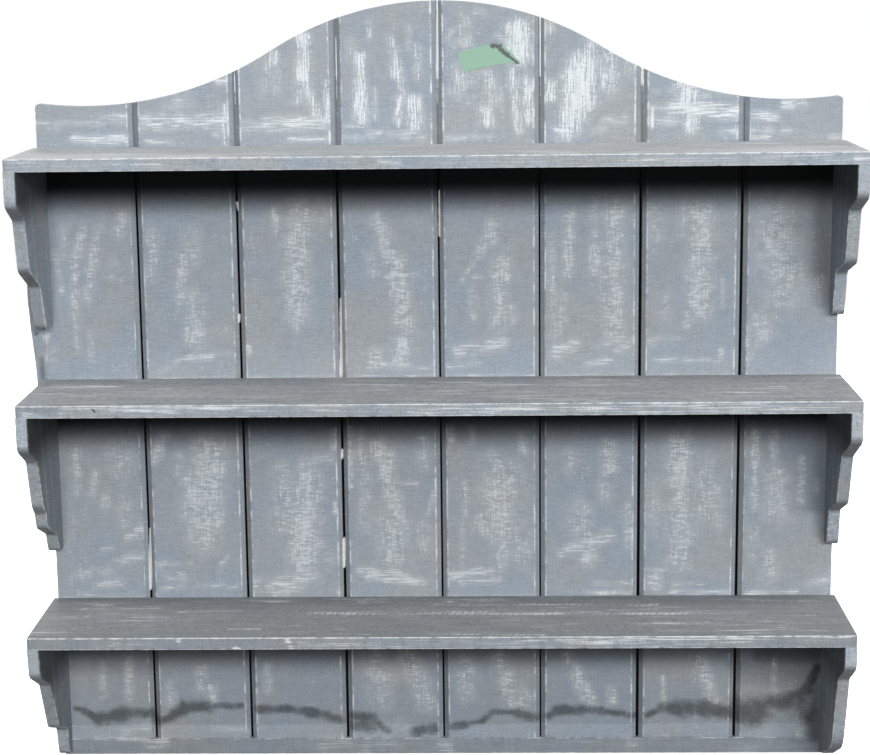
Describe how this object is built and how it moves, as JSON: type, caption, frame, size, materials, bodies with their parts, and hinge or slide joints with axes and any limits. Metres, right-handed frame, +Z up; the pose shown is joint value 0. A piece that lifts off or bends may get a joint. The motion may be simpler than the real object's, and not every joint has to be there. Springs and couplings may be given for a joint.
{
  "type": "wall shelf",
  "caption": "Painted wall shelf: chamfered matchboards cut to an arch, with straight shelves on scrolled end brackets and battens with keyhole hangers behind.",
  "frame": {"origin": "midway between the two keyhole entry holes of the hanger plates, on the wall plane", "axes": "+Z up, +X to the right seen from the front, +Y back into the wall; the front faces -Y"},
  "size_m": [0.8165, 0.165, 0.771],
  "materials": {
    "painted_matchboard": "grey chalk paint dry-brushed with white, rubbed through at the arrises",
    "painted_shelf": "grey chalk paint over saw marks, white dragged along the front arrises",
    "painted_bracket": "grey chalk paint, white along the arrises",
    "painted_trim": "grey chalk paint, scratched",
    "bare_pine": "bare sawn pine, aged",
    "zinc_steel": "zinc plated sheet",
    "fastener_steel": "dull steel",
    "masking_paper": "bare pale green paper tape, matt"
  },
  "bodies": {
    "root": {"back_board_1": "painted_matchboard", "back_board_2": "painted_matchboard", "back_board_3": "painted_matchboard", "back_board_4": "painted_matchboard", "back_board_5": "painted_matchboard", "back_board_6": "painted_matchboard", "back_board_7": "painted_matchboard", "back_board_8": "painted_matchboard", "foot_rail": "painted_trim", "edge_lath": "painted_trim", "top_shelf": "painted_shelf", "top_batten": "bare_pine", "top_bracket_left": "painted_bracket", "top_bracket_right": "painted_bracket", "middle_shelf": "painted_shelf", "middle_batten": "bare_pine", "middle_bracket_left": "painted_bracket", "middle_bracket_right": "painted_bracket", "bottom_shelf": "painted_shelf", "bottom_batten": "bare_pine", "bottom_bracket_left": "painted_bracket", "bottom_bracket_right": "painted_bracket", "hanger_plate_left": "zinc_steel", "hanger_plate_right": "zinc_steel", "shelf_screws": "fastener_steel", "board_screws": "fastener_steel", "bracket_back_nails": "fastener_steel", "bracket_top_nails": "fastener_steel", "rail_nails": "fastener_steel", "lath_nails": "fastener_steel", "hanger_screws": "fastener_steel"}
  },
  "joints": []
}
